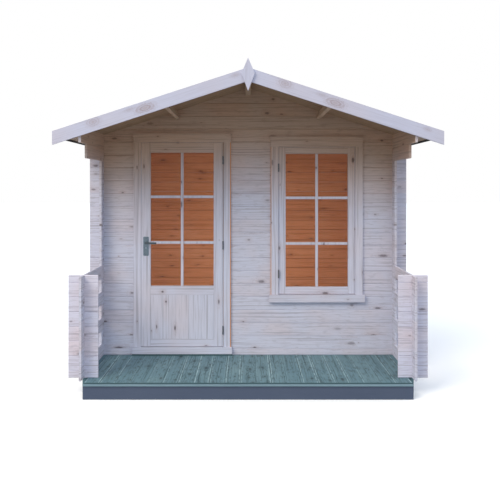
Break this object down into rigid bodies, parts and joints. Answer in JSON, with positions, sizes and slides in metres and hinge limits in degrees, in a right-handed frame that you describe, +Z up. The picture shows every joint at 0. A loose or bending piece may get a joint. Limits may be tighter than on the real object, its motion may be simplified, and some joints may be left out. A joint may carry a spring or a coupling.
{
  "type": "log cabin",
  "caption": "Small whitewashed log cabin with interlocking corners, a veranda with log rails, a gable roof, a half-glazed door that opens outward and a casement window.",
  "frame": {"origin": "on the ground, under the middle of the whole cabin", "axes": "+Z up, +Y from the veranda to the back wall, +X to the right as seen from the veranda"},
  "size_m": [2.9786, 3.4666, 2.5803],
  "materials": {
    "whitewashed_logs": "whitewashed pine",
    "whitewashed_trim": "whitewashed pine",
    "whitewashed_joinery": "whitewashed pine",
    "raw_pine": "untreated pine",
    "floor_boards": "untreated pine",
    "deck_paint": "blue-green stained boards",
    "base_paint": "slate-blue paint",
    "roof_felt": "mineral roofing felt",
    "window_glass": "clear glass",
    "hinge_steel": "zinc-plated",
    "handle_metal": "satin"
  },
  "bodies": {
    "cabin": {"front_wall_left": "whitewashed_logs", "front_wall_below_window": "whitewashed_logs", "front_wall_middle": "whitewashed_logs", "front_wall_right": "whitewashed_logs", "front_gable": "whitewashed_logs", "back_wall": "whitewashed_logs", "back_gable": "whitewashed_logs", "left_wall": "whitewashed_logs", "left_rail_logs": "whitewashed_logs", "left_corner_blocks": "whitewashed_logs", "left_cross_logs": "whitewashed_logs", "left_eaves_logs": "whitewashed_logs", "right_wall": "whitewashed_logs", "right_rail_logs": "whitewashed_logs", "right_corner_blocks": "whitewashed_logs", "right_cross_logs": "whitewashed_logs", "right_eaves_logs": "whitewashed_logs", "door_jambs": "whitewashed_trim", "door_head": "whitewashed_trim", "door_threshold": "whitewashed_trim", "door_stops": "whitewashed_trim", "window_jambs": "whitewashed_trim", "window_head": "whitewashed_trim", "window_sill": "whitewashed_trim", "front_finial": "whitewashed_trim", "back_finial": "whitewashed_trim", "left_front_bargeboard": "whitewashed_trim", "left_back_bargeboard": "whitewashed_trim", "right_front_bargeboard": "whitewashed_trim", "right_back_bargeboard": "whitewashed_trim", "left_roof_boards": "raw_pine", "right_roof_boards": "raw_pine", "ridge_purlin": "raw_pine", "side_purlins": "raw_pine", "left_roof_felt": "roof_felt", "right_roof_felt": "roof_felt", "ridge_felt": "roof_felt", "window_sash": "whitewashed_joinery", "window_glass": "window_glass", "door_hinge_pins": "hinge_steel", "window_hinges": "hinge_steel", "veranda_deck": "deck_paint", "room_floor": "floor_boards", "foundation_bearers": "base_paint"},
    "door": {"door_leaf": "whitewashed_joinery", "door_panel": "whitewashed_joinery", "door_glass": "window_glass", "door_hinge_leaves": "hinge_steel", "door_handle_plates": "handle_metal"},
    "door_lever": {"outer_lever": "handle_metal", "inner_lever": "handle_metal"}
  },
  "joints": [
    {"name": "door_swing", "type": "hinge", "parent": "cabin", "child": "door", "pos_m": [-0.2205, -0.80995, 1.089], "axis": [0, 0, 1], "range_deg": [0, 160]},
    {"name": "lever_turn", "type": "hinge", "parent": "door", "child": "door_lever", "pos_m": [-0.8985, -0.80375, 1.109], "axis": [0, 1, 0], "range_deg": [0, 40], "stiffness_Nm_per_rad": 1.5, "springref_deg": -20.05}
  ]
}
